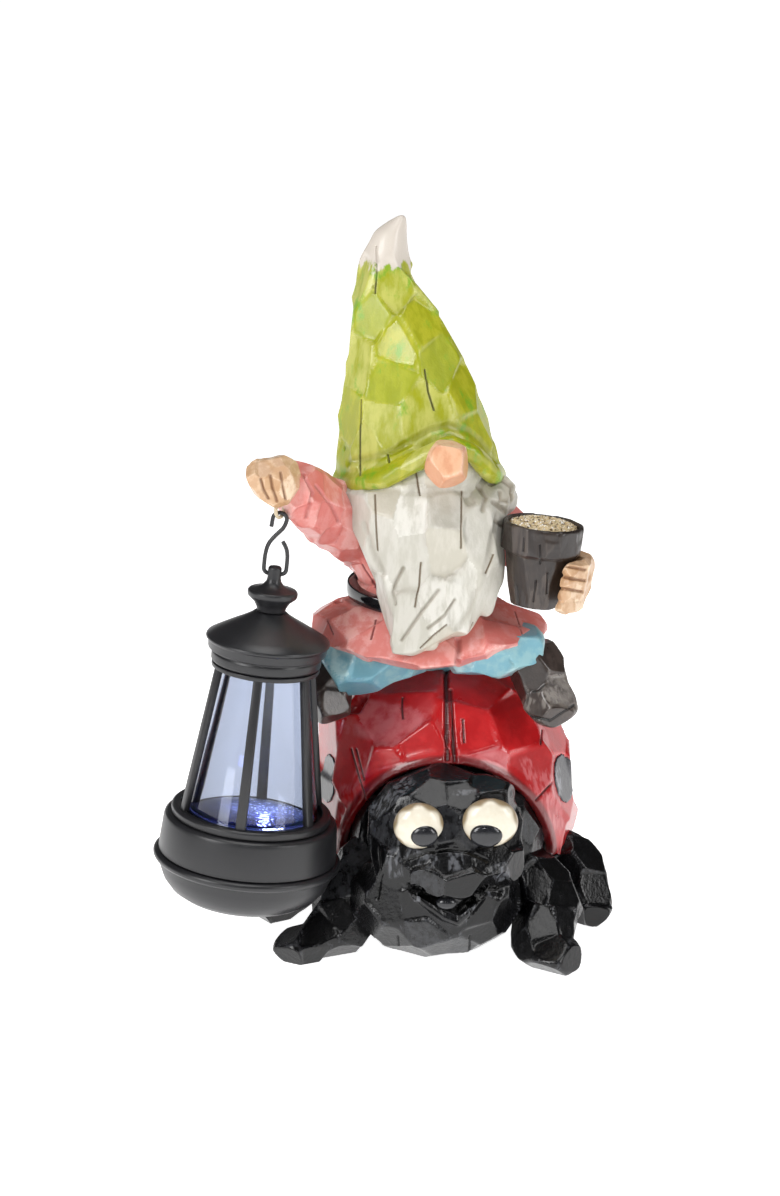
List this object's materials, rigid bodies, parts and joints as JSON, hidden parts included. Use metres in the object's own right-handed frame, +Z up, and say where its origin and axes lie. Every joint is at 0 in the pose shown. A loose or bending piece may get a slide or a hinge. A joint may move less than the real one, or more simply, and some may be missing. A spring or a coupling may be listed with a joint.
{
  "type": "garden gnome with solar lantern",
  "caption": "Carved-look garden gnome riding a ladybird, holding a flower pot and a hanging solar lantern that swings on a wire hook.",
  "frame": {"origin": "middle of the ladybird's flat underside, on the ground", "axes": "+Z up, -Y out of the ladybird's face, +X towards the flower pot"},
  "size_m": [0.1813, 0.1516, 0.286],
  "materials": {
    "red_gloss": "glossy varnish",
    "black_gloss": "glossy varnish",
    "spot_grey": "satin",
    "eye_cream": "glossy varnish",
    "pupil_black": "glossy varnish",
    "coat_pink": "satin varnish",
    "skin": "satin varnish",
    "nose_peach": "satin varnish",
    "beard_cream": "satin varnish",
    "hat_green": "satin varnish",
    "trouser_blue": "satin varnish",
    "boot_brown": "satin varnish",
    "pot_brown": "satin varnish",
    "soil_tan": "gritty matte",
    "belt_black": "glossy varnish",
    "ring_cream": "painted wire",
    "wire_black": "black coated wire",
    "lantern_black": "satin moulded",
    "clear_window": "clear moulded",
    "clear_lens": "clear moulded with fine dimples",
    "solar_blue": "glossy",
    "board_green": "satin",
    "led_white": "clear dome, lit",
    "cell_sleeve": "plastic sleeved",
    "spring_steel": "plated"
  },
  "bodies": {
    "statue": {"ladybug_body": "black_gloss", "ladybug_shell": "red_gloss", "ladybug_head": "black_gloss", "shell_spot_front_left": "spot_grey", "shell_spot_front_right": "spot_grey", "shell_spot_rear_left": "spot_grey", "shell_spot_rear_right": "spot_grey", "eye_left": "eye_cream", "pupil_left": "pupil_black", "eye_right": "eye_cream", "pupil_right": "pupil_black", "front_left_leg": "black_gloss", "front_right_leg": "black_gloss", "rear_left_leg": "black_gloss", "rear_right_leg": "black_gloss", "hat": "hat_green", "nose": "nose_peach", "beard": "beard_cream", "coat": "coat_pink", "belt": "belt_black", "coat_skirt": "coat_pink", "right_sleeve": "coat_pink", "left_sleeve": "coat_pink", "right_hand": "skin", "left_hand": "skin", "right_trouser_leg": "trouser_blue", "left_trouser_leg": "trouser_blue", "right_boot": "boot_brown", "left_boot": "boot_brown", "pot": "pot_brown", "pot_soil": "soil_tan", "hand_ring": "ring_cream"},
    "hook": {"s_hook": "wire_black"},
    "lantern": {"finial": "lantern_black", "finial_screw": "spring_steel", "roof": "lantern_black", "cage": "lantern_black", "window": "clear_window", "lantern_base": "lantern_black"},
    "light_unit": {"base_bowl": "lantern_black", "module_housing": "lantern_black", "circuit_board": "board_green", "led": "led_white", "solar_cell": "solar_blue", "light_lens": "clear_lens", "battery": "cell_sleeve", "battery_contact_minus": "spring_steel", "battery_contact_plus": "spring_steel", "battery_cover": "lantern_black", "battery_cover_screw": "spring_steel", "module_screw_1": "spring_steel", "module_screw_2": "spring_steel", "module_screw_3": "spring_steel"},
    "switch": {"switch_slider": "spot_grey"}
  },
  "joints": [
    {"name": "hook_swing", "type": "hinge", "parent": "statue", "child": "hook", "pos_m": [-0.064, -0.05, 0.1764], "axis": [0, 1, 0], "range_deg": [0, 35]},
    {"name": "lantern_swing", "type": "hinge", "parent": "hook", "child": "lantern", "pos_m": [-0.0663, -0.05, 0.15452], "axis": [0.9945, 0, -0.1045], "range_deg": [-25, 3]},
    {"name": "bowl_twist", "type": "hinge", "parent": "lantern", "child": "light_unit", "pos_m": [-0.0787, -0.05, 0.0364], "axis": [0.1045, 0, 0.9945], "range_deg": [0, 20]},
    {"name": "switch_slide", "type": "slide", "parent": "light_unit", "child": "switch", "axis": [0.9945, 0, -0.1045], "range_m": [0, 0.003]}
  ]
}
